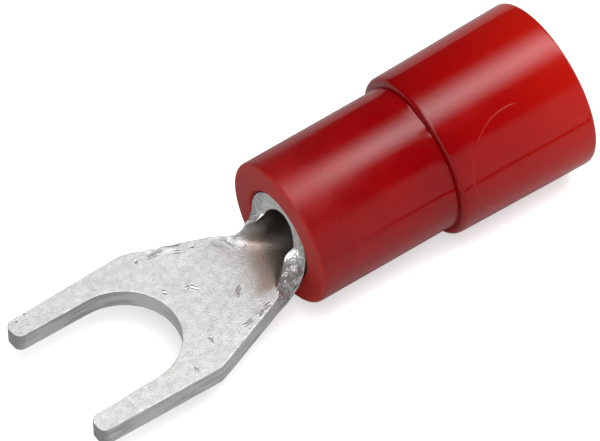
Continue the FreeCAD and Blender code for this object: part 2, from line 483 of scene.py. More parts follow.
def wear_fork(mesh):
    """Shape the small unevenness of a blanked, rolled and barrel-plated sheet."""
    for name in SKIN_MASKS:
        mesh.attributes.new(name, "FLOAT", "POINT")
    masks = {name: mesh.attributes[name].data for name in SKIN_MASKS}
    moved = []
    for vertex, side_share in zip(mesh.vertices, cut_shares(mesh)):
        point = vertex.co.copy()
        for name, value in colour_masks_at(point, side_share).items():
            masks[name][vertex.index].value = value
        shift = vertex.normal * wear_at(point, side_share)
        moved.append(point + shift + open_front(point, height_in_sheet(point)))
    for vertex, point in zip(mesh.vertices, moved):
        vertex.co = point
    mesh.update()


def make_fork():
    """Join the fork, the neck and the barrel, give them the sheet's thickness, and wear them."""
    shape = fork_face()
    add_neck(shape)
    add_barrel(shape)
    bmesh.ops.remove_doubles(shape, verts=shape.verts, dist=MERGE_DISTANCE)
    bmesh.ops.recalc_face_normals(shape, faces=shape.faces)
    shape.faces.ensure_lookup_table()
    floor_face = min(shape.faces, key=lambda face: face.calc_center_median().x)
    if floor_face.normal.z > 0:
        bmesh.ops.reverse_faces(shape, faces=shape.faces)
    skin_points = set(shape.verts)
    bmesh.ops.solidify(shape, geom=shape.faces, thickness=SHEET)
    mark_cut_sides(shape, skin_points)
    divide_cut_sides(shape, skin_points)
    soften_rims(shape)
    fork = place(shape, "tinned_fork")
    smooth = fork.modifiers.new("smooth_sheet", "SUBSURF")
    smooth.levels = FORK_LEVELS
    smooth.render_levels = FORK_LEVELS
    wear_fork(apply_modifiers(fork))
    return fork


# Sleeve

SLEEVE_STEPS = 224
CORNER_POINTS = 6
FRONT_ROUNDING = 0.17 * MM
BORE_CHAMFER = 0.09 * MM
STEP_ROUNDING = 0.2 * MM
REAR_ROUNDING = 0.15 * MM
MOUTH_CHAMFER = 0.2 * MM
THROAT_RADIUS = CONDUCTOR_RADIUS + 0.05 * MM
SEAT_END_X = BARREL_REAR_X + 0.03 * MM
FUNNEL_X = SEAT_END_X + 0.3 * MM
LONG_PART_SPACING = 0.35 * MM
CRISP_ANGLE = math.radians(38)
SEAM_DISTANCE = 0.001 * MM
MOULD_WAVES = 0.009 * MM
MOULD_RIPPLES = (0.45, 11)
OUTER_SKIN_RADIUS = SLEEVE_FRONT_RADIUS - 0.5 * MM
FLASH_WIDTH = 0.06 * MM
FLASH_HEIGHT = 0.08 * MM
FLASH_RIPPLES = (3.2, 12)
FLASH_BASE = 0.25
FLASH_LIFT = 0.45
FLASH_FIRST_ANGLE = math.radians(-62)
FLASH_LAST_ANGLE = math.radians(22)
FLASH_FADE = 0.2


def corner(x, radius, rounding, first_degrees, last_degrees):
    """Return points of a rounded corner; x and radius give the centre of its arc."""
    points = []
    for number in range(CORNER_POINTS):
        degrees = between(first_degrees, last_degrees, number / (CORNER_POINTS - 1))
        angle = math.radians(degrees)
        points.append((x + rounding * math.cos(angle), radius + rounding * math.sin(angle)))
    return points


def long_run(first_x, first_radius, last_x, last_radius):
    """Return evenly spaced points of a long straight stretch, without its first point."""
    count = round((last_x - first_x) / LONG_PART_SPACING)
    return [
        (between(first_x, last_x, number / count), between(first_radius, last_radius, number / count))
        for number in range(1, count + 1)
    ]


def sleeve_outline():
    """List the sleeve's section as distances along X and radii, from its front bore outwards."""
    outline = [(SLEEVE_FRONT_X + BORE_CHAMFER, SEAT_RADIUS)]
    outline.append((SLEEVE_FRONT_X, SEAT_RADIUS + BORE_CHAMFER))
    outline += corner(SLEEVE_FRONT_X + FRONT_ROUNDING, SLEEVE_FRONT_RADIUS - FRONT_ROUNDING,
                      FRONT_ROUNDING, 180, 90)
    outline += long_run(SLEEVE_FRONT_X + FRONT_ROUNDING, SLEEVE_FRONT_RADIUS,
                        SLEEVE_STEP_X - 2 * FLASH_WIDTH, SLEEVE_FRONT_RADIUS)
    outline.append((SLEEVE_STEP_X - FLASH_WIDTH, SLEEVE_FRONT_RADIUS))
    outline.append((SLEEVE_STEP_X, SLEEVE_FRONT_RADIUS))
    outline += corner(SLEEVE_STEP_X + STEP_ROUNDING, SLEEVE_STEP_RADIUS - STEP_ROUNDING,
                      STEP_ROUNDING, 180, 90)
    outline += long_run(SLEEVE_STEP_X + STEP_ROUNDING, SLEEVE_STEP_RADIUS,
                        SLEEVE_REAR_X - REAR_ROUNDING, SLEEVE_REAR_RADIUS)[:-1]
    outline += corner(SLEEVE_REAR_X - REAR_ROUNDING, SLEEVE_REAR_RADIUS - REAR_ROUNDING,
                      REAR_ROUNDING, 90, 0)
    outline.append((SLEEVE_REAR_X, INSULATION_RADIUS + MOUTH_CHAMFER))
    outline.append((SLEEVE_REAR_X - MOUTH_CHAMFER, INSULATION_RADIUS))
    outline.append((SLEEVE_REAR_X - MOUTH_CHAMFER - INSULATION_BORE_LENGTH, INSULATION_RADIUS))
    outline.append((FUNNEL_X, THROAT_RADIUS))
    outline.append((SEAT_END_X, THROAT_RADIUS))
    outline.append((SEAT_END_X, SEAT_RADIUS))
    return outline


def keep_crisp(shape):
    """Keep the shading of tight corners apart from the faces beside them."""
    for edge in shape.edges:
        if len(edge.link_faces) == 2 and edge.calc_face_angle() > CRISP_ANGLE:
            edge.smooth = False


def wear_sleeve(shape):
    """Shape the moulded skin's faint waves and the ragged flash in the corner of the step."""
    for vertex in shape.verts:
        point = vertex.co
        outwards = Vector((0, point.y, point.z - AXIS_HEIGHT))
        radius = outwards.length
        if radius < OUTER_SKIN_RADIUS:
            continue
        angle = math.atan2(outwards.y, outwards.z)
        outwards.normalize()
        shift = -MOULD_WAVES * roughness_at(point, *MOULD_RIPPLES)
        at_corner = groove(point.x - SLEEVE_STEP_X + FLASH_WIDTH, FLASH_WIDTH / 2)
        span = blend(FLASH_FIRST_ANGLE, FLASH_FIRST_ANGLE + FLASH_FADE, angle)
        span *= 1 - blend(FLASH_LAST_ANGLE - FLASH_FADE, FLASH_LAST_ANGLE, angle)
        ragged = FLASH_BASE + span * max(0, FLASH_LIFT + ripple(point, *FLASH_RIPPLES))
        if radius < SLEEVE_FRONT_RADIUS + FLASH_WIDTH:
            shift += FLASH_HEIGHT * at_corner * ragged
        vertex.co = point + outwards * shift


def make_sleeve():
    """Spin the sleeve's section round the barrel's axis."""
    shape = bmesh.new()
    points = [shape.verts.new((x, 0, AXIS_HEIGHT + radius)) for x, radius in sleeve_outline()]
    edges = [shape.edges.new(pair) for pair in zip(points, points[1:] + points[:1])]
    centre = Vector((0, 0, AXIS_HEIGHT))
    bmesh.ops.spin(shape, geom=points + edges, cent=centre, axis=X_AXIS, angle=FULL_TURN,
                   steps=SLEEVE_STEPS, use_merge=True)
    bmesh.ops.remove_doubles(shape, verts=shape.verts, dist=SEAM_DISTANCE)
    bmesh.ops.recalc_face_normals(shape, faces=shape.faces)
    keep_crisp(shape)
    wear_sleeve(shape)
    return place(shape, "red_sleeve")


# Materials

def new_material(name):
    material = bpy.data.materials.new(name)
    material.use_nodes = True
    return material


def add_node(tree, kind, settings=None, inputs=None):
    """Add a node; inputs take plain values, or another node's output to link from."""
    node = tree.nodes.new(kind)
    for name, value in (settings or {}).items():
        setattr(node, name, value)
    for name, value in (inputs or {}).items():
        if isinstance(value, bpy.types.NodeSocket):
            tree.links.new(value, node.inputs[name])
        else:
            node.inputs[name].default_value = value
    return node


def calculate(tree, operation, first, second):
    """Add a math node and return its result."""
    return add_node(tree, "ShaderNodeMath", {"operation": operation}, {0: first, 1: second}).outputs[0]


def fade(tree, value, low, high, at_low=0.0, at_high=1.0):
    """Turn a value between low and high smoothly into one between at_low and at_high."""
    node = add_node(tree, "ShaderNodeMapRange", {"interpolation_type": "SMOOTHSTEP"}, {
        "Value": value, "From Min": low, "From Max": high, "To Min": at_low, "To Max": at_high,
    })
    return node.outputs["Result"]


def mix_colours(tree, share, first, second):
    """Mix two colours; share is how much of the second there is."""
    node = tree.nodes.new("ShaderNodeMix")
    node.data_type = "RGBA"
    by_name = {"Factor": share, "A": first, "B": second}
    wanted = {"Factor": "VALUE", "A": "RGBA", "B": "RGBA"}
    for socket in node.inputs:
        if wanted.get(socket.name) != socket.type:
            continue
        value = by_name[socket.name]
        if isinstance(value, bpy.types.NodeSocket):
            tree.links.new(value, socket)
        else:
            socket.default_value = value
    return next(socket for socket in node.outputs if socket.type == "RGBA")


PER_MM = 1000


def new_group(name, inputs, outputs):
    """Start a shader node group whose sockets are all plain values or vectors."""
    group = bpy.data.node_groups.new(name, "ShaderNodeTree")
    for socket_name, kind in inputs.items():
        group.interface.new_socket(socket_name, in_out="INPUT", socket_type=kind)
    for socket_name, kind in outputs.items():
        group.interface.new_socket(socket_name, in_out="OUTPUT", socket_type=kind)
    entry = group.nodes.new("NodeGroupInput").outputs
    leave = group.nodes.new("NodeGroupOutput").inputs
    return group, entry, leave


NICK_HEIGHT = 2.6
NICK_WOBBLE = 0.16 * MM
# Each nick as x and y in mm, direction in degrees, and length and width in mm
NICKS = (
    (4.68, -0.56, 35, 0.42, 0.05),
    (4.55, -0.75, 28, 0.26, 0.04),
    (3.48, 0.46, -50, 0.34, 0.06),
    (3.3, 0.62, 10, 0.2, 0.05),
    (2.49, 0.91, -40, 0.22, 0.06),
    (2.63, -1.85, 70, 0.3, 0.05),
    (1.43, -2.58, 60, 0.28, 0.05),
    (4.1, -1.98, 8, 0.5, 0.05),
    (4.75, -1.86, 22, 0.45, 0.05),
    (5.1, -1.75, 15, 0.3, 0.05),
    (3.1, 2.5, -18, 0.55, 0.05),
    (3.9, 2.15, -24, 0.4, 0.05),
)


def mottle_group():
    """Build patches and fine grain over a surface, both from 0 to 1."""
    inputs = {"Vector": "NodeSocketVector", "Patches": "NodeSocketFloat", "Grain": "NodeSocketFloat"}
    outputs = {"Patches": "NodeSocketFloat", "Grain": "NodeSocketFloat"}
    group, entry, leave = new_group("mottle", inputs, outputs)
    for name, detail, spread in (("Patches", 5, 0.18), ("Grain", 3, 0.2)):
        speckle = add_node(group, "ShaderNodeTexNoise", None, {
            "Vector": entry["Vector"], "Scale": entry[name], "Detail": detail, "Roughness": 0.62,
        }).outputs[0]
        group.links.new(fade(group, speckle, 0.5 - spread, 0.5 + spread), leave[name])
    return group


def scratch_group():
    """Build fine straight scratches that lie along X of the given coordinates, from 0 to 1."""
    inputs = {"Vector": "NodeSocketVector", "Fineness": "NodeSocketFloat",
              "Length": "NodeSocketFloat", "Amount": "NodeSocketFloat"}
    group, entry, leave = new_group("scratches", inputs, {"Mask": "NodeSocketFloat"})
    stretch = add_node(group, "ShaderNodeCombineXYZ", None, {
        "X": calculate(group, "DIVIDE", 1.0, entry["Length"]),
        "Y": entry["Fineness"],
        "Z": entry["Fineness"],
    }).outputs[0]
    drawn = add_node(group, "ShaderNodeVectorMath", {"operation": "MULTIPLY"},
                     {0: entry["Vector"], 1: stretch}).outputs[0]
    streak = add_node(group, "ShaderNodeTexNoise", None, {
        "Vector": drawn, "Scale": 1.0, "Detail": 1.0, "Roughness": 0.5,
    }).outputs[0]
    edge = calculate(group, "SUBTRACT", 0.8, calculate(group, "MULTIPLY", entry["Amount"], 0.2))
    soft_edge = calculate(group, "SUBTRACT", edge, 0.04)
    group.links.new(fade(group, streak, soft_edge, edge), leave["Mask"])
    return group


def ding_group():
    """Build small scattered dents, from 0 to 1."""
    inputs = {"Vector": "NodeSocketVector", "Spacing": "NodeSocketFloat", "Share": "NodeSocketFloat"}
    group, entry, leave = new_group("dings", inputs, {"Mask": "NodeSocketFloat"})
    wobble = add_node(group, "ShaderNodeTexNoise", None, {
        "Vector": entry["Vector"], "Scale": 4 * PER_MM, "Detail": 2.0,
    }).outputs[1]
    bent = add_node(group, "ShaderNodeVectorMath", {"operation": "SCALE"}, {
        0: wobble, "Scale": 0.22 * MM,
    }).outputs[0]
    place_at = add_node(group, "ShaderNodeVectorMath", {"operation": "ADD"},
                        {0: entry["Vector"], 1: bent}).outputs[0]
    cells = add_node(group, "ShaderNodeTexVoronoi", None, {
        "Vector": place_at, "Scale": calculate(group, "DIVIDE", 1.0, entry["Spacing"]),
    })
    pit = fade(group, cells.outputs["Distance"], 0.05, 0.16, 1.0, 0.0)
    chance = add_node(group, "ShaderNodeSeparateColor", None, {"Color": cells.outputs["Color"]})
    chosen = calculate(group, "LESS_THAN", chance.outputs[0], entry["Share"])
    group.links.new(calculate(group, "MULTIPLY", pit, chosen), leave["Mask"])
    return group


def nick_group():
    """Build one short nick: a height that rises on one side of its line and sinks on the other."""
    inputs = {"Vector": "NodeSocketVector", "Centre": "NodeSocketVector", "Turn": "NodeSocketFloat",
              "Length": "NodeSocketFloat", "Width": "NodeSocketFloat"}
    group, entry, leave = new_group("nick", inputs, {"Height": "NodeSocketFloat"})
    wobble = add_node(group, "ShaderNodeTexNoise", None, {
        "Vector": entry["Vector"], "Scale": 3 * PER_MM, "Detail": 1.0,
    }).outputs[1]
    wobble = add_node(group, "ShaderNodeVectorMath", {"operation": "SCALE"}, {
        0: wobble, "Scale": NICK_WOBBLE,
    }).outputs[0]
    apart = add_node(group, "ShaderNodeVectorMath", {"operation": "SUBTRACT"},
                     {0: entry["Vector"], 1: entry["Centre"]}).outputs[0]
    apart = add_node(group, "ShaderNodeVectorMath", {"operation": "ADD"}, {0: apart, 1: wobble}).outputs[0]
    turn = add_node(group, "ShaderNodeVectorRotate", {"rotation_type": "Z_AXIS"},
                    {"Vector": apart, "Angle": entry["Turn"]}).outputs[0]
    parts = add_node(group, "ShaderNodeSeparateXYZ", None, {"Vector": turn}).outputs
    along = calculate(group, "DIVIDE", calculate(group, "ABSOLUTE", parts["X"], 0.0), entry["Length"])
    across = calculate(group, "DIVIDE", parts["Y"], entry["Width"])
    ends = fade(group, along, 0.25, 0.5, 1.0, 0.0)
    near = fade(group, calculate(group, "ABSOLUTE", across, 0.0), 0.5, 1.5, 1.0, 0.0)
    height = calculate(group, "MULTIPLY", calculate(group, "MULTIPLY", across, near), ends)
    group.links.new(height, leave["Height"])
    return group


mottle = mottle_group()
scratches = scratch_group()
dings = ding_group()
nick = nick_group()


def use_group(tree, group, inputs):
    return add_node(tree, "ShaderNodeGroup", {"node_tree": group}, inputs).outputs


def turned(tree, vector, degrees):
    """Turn coordinates about Z."""
    return add_node(tree, "ShaderNodeMapping", None, {
        "Vector": vector, "Rotation": (0, 0, math.radians(degrees)),
    }).outputs[0]


def attribute(tree, name):
    return add_node(tree, "ShaderNodeAttribute", {"attribute_name": name}).outputs["Fac"]


TIN_LIGHT = (0.66, 0.665, 0.655, 1)
TIN_DULL = (0.43, 0.435, 0.43, 1)
TIN_PIT_AND_FOLD_SHADE = (0.3, 0.3, 0.295, 1)
# Painted light: the cut sides are painted lighter than the tinned skins.
TIN_CUT = (0.9, 0.905, 0.905, 1)
# Grey for the shear streaks on the cut sides and for the painted shade on the tine ends.
TIN_STREAK_AND_END_SHADE = (0.4, 0.4, 0.395, 1)
END_REACH = 0.45 * MM
# Bright tin for rubbed rims and the painted highlight along them.
TIN_BRIGHT = (0.93, 0.93, 0.92, 1)
# Inside the barrel: brown that is part oxide and part painted shade, then painted shade deeper in.
BORE_OXIDE_AND_SHADE = (0.33, 0.26, 0.225, 1)
BORE_PAINTED_SHADE = (0.17, 0.145, 0.13, 1)
PIT_TINT = 0.3
CUT_TINT = 0.75
# Share of painted shade in the valleys of the torn edge's folds.
FOLD_SHADE_SHARE = 0.75
SCRATCH_SHINE = 0.14
GRAIN_BUMP = 0.35
SCRATCH_BUMP = 0.4
DENT_BUMP = 2.0
SPECK_BUMP = 0.8
FOLD_BUMP = 5.0


def tinned_metal():
    """Dull tin plating on blanked copper sheet, brownish with oxide and dark with painted shade inside the
    barrel.
    """
    material = new_material("tinned_copper")
    tree = material.node_tree
    shader = tree.nodes["Principled BSDF"]
    place_at = add_node(tree, "ShaderNodeTexCoord").outputs["Object"]
    flecks = use_group(tree, mottle, {"Vector": place_at, "Patches": 3.6 * PER_MM, "Grain": 15 * PER_MM})
    long_marks = use_group(tree, scratches, {
        "Vector": turned(tree, place_at, -24), "Fineness": 22 * PER_MM, "Length": 0.55 * MM, "Amount": 0.1,
    })["Mask"]
    cross_marks = use_group(tree, scratches, {
        "Vector": turned(tree, place_at, 52), "Fineness": 24 * PER_MM, "Length": 0.35 * MM, "Amount": 0.05,
    })["Mask"]
    marks = calculate(tree, "MAXIMUM", long_marks, cross_marks)
    dents = use_group(tree, dings, {"Vector": place_at, "Spacing": 0.5 * MM, "Share": 0.18})["Mask"]
    specks = use_group(tree, dings, {"Vector": place_at, "Spacing": 0.21 * MM, "Share": 0.16})["Mask"]
    cut = attribute(tree, "cut")
    rim = attribute(tree, "rim")
    bore = attribute(tree, "bore")

    grain_share = calculate(tree, "MULTIPLY", flecks["Grain"], 0.45)
    patch_share = calculate(tree, "MULTIPLY", flecks["Patches"], 0.5)
    dull = calculate(tree, "ADD", grain_share, patch_share)
    colour = mix_colours(tree, dull, TIN_LIGHT, TIN_DULL)
    # The cut sides' tint is painted light: it makes them lighter than the tinned skins.
    tints = ((dents, PIT_TINT, TIN_PIT_AND_FOLD_SHADE), (specks, PIT_TINT, TIN_PIT_AND_FOLD_SHADE), (cut, CUT_TINT, TIN_CUT))
    for mask, share, tint in tints:
        colour = mix_colours(tree, calculate(tree, "MULTIPLY", mask, share), colour, tint)
    x = add_node(tree, "ShaderNodeSeparateXYZ", None, {"Vector": place_at}).outputs["X"]
    streaks = add_node(tree, "ShaderNodeMapping", None, {
        "Vector": place_at, "Scale": (0.7 * PER_MM, 0.7 * PER_MM, 6.5 * PER_MM),
    }).outputs[0]
    streaks = add_node(tree, "ShaderNodeTexNoise", None, {"Vector": streaks, "Scale": 1.0, "Detail": 3.0})
    sheared = calculate(tree, "MULTIPLY", fade(tree, streaks.outputs[0], 0.46, 0.66, 0.0, 0.55), cut)
    colour = mix_colours(tree, sheared, colour, TIN_STREAK_AND_END_SHADE)
    # Painted shade: the cut sides and rims of the tine ends are darkened towards the tips.
    painted_end_shade = fade(tree, x, TIP_X, TIP_X + END_REACH, 0.9, 0.0)
    painted_end_shade = calculate(tree, "MULTIPLY", painted_end_shade, calculate(tree, "MAXIMUM", cut, rim))
    colour = mix_colours(tree, painted_end_shade, colour, TIN_STREAK_AND_END_SHADE)
    # The rims are lightened in patches: part wear, part a painted highlight along the edge.
    rim_wear_and_highlight = calculate(tree, "MULTIPLY", rim, fade(tree, flecks["Patches"], 0.2, 0.7, 0.2, 0.9))
    colour = mix_colours(tree, rim_wear_and_highlight, colour, TIN_BRIGHT)
    # Painted shade: the bore is tinted brown, part oxide and part painted shade, and painted dark deeper
    # into the barrel.
    colour = mix_colours(tree, fade(tree, bore, 0.1, 0.7), colour, BORE_OXIDE_AND_SHADE)
    colour = mix_colours(tree, fade(tree, bore, 0.65, 1.0), colour, BORE_PAINTED_SHADE)
    torn = attribute(tree, "torn")
    folds = add_node(tree, "ShaderNodeTexNoise", None, {
        "Vector": place_at, "Scale": 3.2 * PER_MM, "Detail": 3.0, "Roughness": 0.55, "Distortion": 0.6,
    }).outputs[0]
    folds = calculate(tree, "ABSOLUTE", calculate(tree, "SUBTRACT", folds, 0.5), 0.0)
    # Painted shade: dark lines along the valleys of the torn edge's folds.
    fold_shade = calculate(tree, "MULTIPLY", fade(tree, folds, 0.0, 0.045, 1.0, 0.0), torn)
    colour = mix_colours(tree, calculate(tree, "MULTIPLY", fold_shade, FOLD_SHADE_SHARE), colour, TIN_PIT_AND_FOLD_SHADE)
    tree.links.new(colour, shader.inputs["Base Color"])
    shader.inputs["Metallic"].default_value = 1

    rough = fade(tree, dull, 0.1, 0.9, 0.4, 0.56)
    rough = calculate(tree, "SUBTRACT", rough, calculate(tree, "MULTIPLY", marks, SCRATCH_SHINE))
    tree.links.new(rough, shader.inputs["Roughness"])

    relief = calculate(tree, "MULTIPLY", flecks["Grain"], GRAIN_BUMP)
    for mask, depth in ((marks, SCRATCH_BUMP), (dents, DENT_BUMP), (specks, SPECK_BUMP)):
        relief = calculate(tree, "SUBTRACT", relief, calculate(tree, "MULTIPLY", mask, depth))
    for nick_x, nick_y, degrees, length, width in NICKS:
        cutting = use_group(tree, nick, {
            "Vector": place_at, "Centre": (nick_x * MM, nick_y * MM, SHEET),
            "Turn": -math.radians(degrees), "Length": length * MM, "Width": width * MM,
        })["Height"]
        relief = calculate(tree, "ADD", relief, calculate(tree, "MULTIPLY", cutting, NICK_HEIGHT))
    folded = calculate(tree, "MULTIPLY", fade(tree, folds, 0.0, 0.16), torn)
    relief = calculate(tree, "ADD", relief, calculate(tree, "MULTIPLY", folded, FOLD_BUMP))
    bump = add_node(tree, "ShaderNodeBump", None, {
        "Strength": 0.6, "Distance": 0.02 * MM, "Height": relief,
    })
    tree.links.new(bump.outputs["Normal"], shader.inputs["Normal"])
    return material


RED_DEEP = (0.22, 0.0005, 0.0014, 1)
RED_EVEN = (0.27, 0.0008, 0.0018, 1)
RED_WIDE = (0.325, 0.0018, 0.0016, 1)
RED_THIN = (0.50, 0.01, 0.003, 1)
RED_SMEAR = (0.42, 0.015, 0.015, 1)
THIN_WALL_FIRST_X = 14.6 * MM
FRONT_FACE_DEPTH = 0.12 * MM
SHARP_GLOSS_X = 11.2 * MM
WITNESS_X = 15.4 * MM
WITNESS_AROUND = -4.15 * MM
WITNESS_RADIUS = 2.15 * MM
WITNESS_WIDTH = 0.035 * MM
WITNESS_END_X = 16.1 * MM
RED_IOR = 1.43
RED_SCATTER_SHARE = 0.15
RED_SCATTER_REACH = (1.0, 0.12, 0.08)
RED_SCATTER_SCALE = 0.7 * MM


def around_sleeve(tree, parts):
    """Return the distance round the sleeve from its top, on the wide part's skin."""
    height = calculate(tree, "SUBTRACT", parts["Z"], AXIS_HEIGHT)
    angle = calculate(tree, "ARCTAN2", parts["Y"], height)
    return calculate(tree, "MULTIPLY", angle, SLEEVE_REAR_RADIUS)


def witness_line(tree, x, around):
    """Draw the faint round line that a mould insert leaves on the wide part."""
    spot = add_node(tree, "ShaderNodeCombineXYZ", None, {"X": x, "Y": around}).outputs[0]
    centre = (WITNESS_X, WITNESS_AROUND, 0)
    apart = add_node(tree, "ShaderNodeVectorMath", {"operation": "DISTANCE"}, {0: spot, 1: centre})
    off_line = calculate(tree, "SUBTRACT", apart.outputs["Value"], WITNESS_RADIUS)
    off_line = calculate(tree, "ABSOLUTE", off_line, 0.0)
    line = fade(tree, off_line, 0.0, WITNESS_WIDTH, 1.0, 0.0)
    ends = fade(tree, x, WITNESS_END_X - 0.5 * MM, WITNESS_END_X, 1.0, 0.0)
    return calculate(tree, "MULTIPLY", line, ends)


def red_plastic():
    """Glossy red moulded plastic, with painted light where the wall is thin and light comes through, and
    on the front face.
    """
    material = new_material("red_plastic")
    tree = material.node_tree
    shader = tree.nodes["Principled BSDF"]
    place_at = add_node(tree, "ShaderNodeTexCoord").outputs["Object"]
    parts = add_node(tree, "ShaderNodeSeparateXYZ", None, {"Vector": place_at}).outputs
    x = parts["X"]
    around = around_sleeve(tree, parts)
    unrolled = add_node(tree, "ShaderNodeCombineXYZ", None, {"X": around, "Y": x}).outputs[0]
    flecks = use_group(tree, mottle, {"Vector": place_at, "Patches": 0.45 * PER_MM, "Grain": 5 * PER_MM})
    rubs = use_group(tree, scratches, {
        "Vector": turned(tree, unrolled, 6), "Fineness": 18 * PER_MM, "Length": 0.9 * MM, "Amount": 0.04,
    })["Mask"]
    marks = use_group(tree, dings, {"Vector": place_at, "Spacing": 1.6 * MM, "Share": 0.3})["Mask"]
    witness = witness_line(tree, x, around)

    colour = mix_colours(tree, flecks["Patches"], RED_DEEP, RED_EVEN)
    # Painted light: the wide part is painted lighter, and the wall more so towards the rear, where it
    # thins.
    wide = fade(tree, x, SLEEVE_STEP_X, THIN_WALL_FIRST_X, 0.0, 0.8)
    colour = mix_colours(tree, wide, colour, RED_WIDE)
    thin = fade(tree, x, THIN_WALL_FIRST_X, SLEEVE_REAR_X, 0.0, 0.55)
    colour = mix_colours(tree, thin, colour, RED_THIN)
    # Painted light: the front face is painted lighter.
    front = fade(tree, x, SLEEVE_FRONT_X, SLEEVE_FRONT_X + FRONT_FACE_DEPTH, 0.6, 0.0)
    colour = mix_colours(tree, front, colour, RED_THIN)
    flaws = calculate(tree, "MAXIMUM", witness, calculate(tree, "MULTIPLY", rubs, 0.2))
    colour = mix_colours(tree, calculate(tree, "MULTIPLY", flaws, 0.5), colour, RED_SMEAR)
    tree.links.new(colour, shader.inputs["Base Color"])

    rough = fade(tree, flecks["Patches"], 0.1, 0.9, 0.0, 0.05)
    rough = calculate(tree, "ADD", rough, fade(tree, x, SLEEVE_FRONT_X, SHARP_GLOSS_X, 0.3, 0.07))
    front_matt = fade(tree, x, SLEEVE_FRONT_X, SLEEVE_FRONT_X + FRONT_FACE_DEPTH, 0.2, 0.0)
    rough = calculate(tree, "ADD", rough, front_matt)
    rough = calculate(tree, "ADD", rough, calculate(tree, "MULTIPLY", rubs, 0.15))
    tree.links.new(rough, shader.inputs["Roughness"])
    shader.inputs["IOR"].default_value = RED_IOR
    shader.inputs["Subsurface Weight"].default_value = RED_SCATTER_SHARE
    shader.inputs["Subsurface Radius"].default_value = RED_SCATTER_REACH
    shader.inputs["Subsurface Scale"].default_value = RED_SCATTER_SCALE

    relief = calculate(tree, "MULTIPLY", flecks["Grain"], 0.12)
    relief = calculate(tree, "ADD", relief, calculate(tree, "MULTIPLY", witness, 0.8))
    relief = calculate(tree, "SUBTRACT", relief, calculate(tree, "MULTIPLY", rubs, 0.25))
    relief = calculate(tree, "SUBTRACT", relief, calculate(tree, "MULTIPLY", marks, 0.3))
    bump = add_node(tree, "ShaderNodeBump", None, {
        "Strength": 0.5, "Distance": 0.02 * MM, "Height": relief,
    })
    tree.links.new(bump.outputs["Normal"], shader.inputs["Normal"])
    return material


# Studio

CAMERA_AZIMUTH = math.radians(-32.9886)
CAMERA_ELEVATION = math.radians(51.1532)
CAMERA_ROLL = math.radians(-2.8762)
CAMERA_TARGET = Vector((8.0, 0.0, 1.0)) * MM
CAMERA_RIGHT = 0.2369 * MM
CAMERA_UP = -0.3346 * MM
CAMERA_DISTANCE = 650 * MM
PIXELS_PER_MM = 28.239
PHOTO_WIDTH = 600
SENSOR_MM = 36


def add_camera():
    """Stand the camera where the photograph was taken from."""
    flat = math.cos(CAMERA_ELEVATION)
    back = Vector((math.sin(CAMERA_AZIMUTH) * flat, -math.cos(CAMERA_AZIMUTH) * flat,
                   math.sin(CAMERA_ELEVATION)))
    level = Vector((math.cos(CAMERA_AZIMUTH), math.sin(CAMERA_AZIMUTH), 0))
    upright = back.cross(level)
    right = level * math.cos(CAMERA_ROLL) + upright * math.sin(CAMERA_ROLL)
    up = upright * math.cos(CAMERA_ROLL) - level * math.sin(CAMERA_ROLL)
    spot = CAMERA_TARGET - right * CAMERA_RIGHT - up * CAMERA_UP + back * CAMERA_DISTANCE
    lens = bpy.data.cameras.new("camera")
    lens.sensor_width = SENSOR_MM
    lens.lens = PIXELS_PER_MM * CAMERA_DISTANCE / MM * SENSOR_MM / PHOTO_WIDTH
    lens.clip_start = CAMERA_DISTANCE / 10
    lens.clip_end = CAMERA_DISTANCE * 10
    camera = bpy.data.objects.new("camera", lens)
    axes = Matrix((right, up, back)).transposed().to_4x4()
    camera.matrix_world = Matrix.Translation(spot) @ axes
    bpy.context.scene.collection.objects.link(camera)
    bpy.context.scene.camera = camera


FLOOR_SIZE = 600 * MM
FLOOR_GREY = 0.8
FLOOR_MIRRORED_GREY = 0.4
FLOOR_GLOW = 0.55
WORLD_LIGHT = 0.42


def seen_directly(tree, kinds):
    """Return 1 for the given kinds of ray, and 0 for the rest."""
    rays = add_node(tree, "ShaderNodeLightPath").outputs
    total = rays[kinds[0]]
    for kind in kinds[1:]:
        total = calculate(tree, "MAXIMUM", total, rays[kind])
    return total


def add_floor():
    """Lay a plain white floor just under the sleeve."""
    shape = bmesh.new()
    bmesh.ops.create_grid(shape, x_segments=1, y_segments=1, size=FLOOR_SIZE / 2)
    bmesh.ops.translate(shape, verts=shape.verts, vec=(CAMERA_TARGET.x, 0, sleeve_low.z))
    floor = place(shape, "floor")
    material = new_material("floor_white")
    tree = material.node_tree
    shader = tree.nodes["Principled BSDF"]
    plain = (FLOOR_GREY, FLOOR_GREY, FLOOR_GREY, 1)
    mirrored = (FLOOR_MIRRORED_GREY, FLOOR_MIRRORED_GREY, FLOOR_MIRRORED_GREY, 1)
    in_mirror = seen_directly(tree, ["Is Glossy Ray"])
    tree.links.new(mix_colours(tree, in_mirror, plain, mirrored), shader.inputs["Base Color"])
    shader.inputs["Roughness"].default_value = 0.9
    shader.inputs["Specular IOR Level"].default_value = 0
    shader.inputs["Emission Color"].default_value = (1, 1, 1, 1)
    glow = calculate(tree, "MULTIPLY", seen_directly(tree, ["Is Camera Ray"]), FLOOR_GLOW)
    tree.links.new(glow, shader.inputs["Emission Strength"])
    floor.data.materials.append(material)


def add_world():
    """Light the studio evenly, and show it white to the camera and in reflections."""
    world = bpy.data.worlds.new("studio")
    bpy.context.scene.world = world
    world.use_nodes = True
    tree = world.node_tree
    background = tree.nodes["Background"]
    background.inputs["Color"].default_value = (1, 1, 1, 1)
    kinds = ["Is Camera Ray", "Is Glossy Ray", "Is Transmission Ray"]
    strength = fade(tree, seen_directly(tree, kinds), 0.0, 1.0, WORLD_LIGHT, 1.0)
    tree.links.new(strength, background.inputs["Strength"])


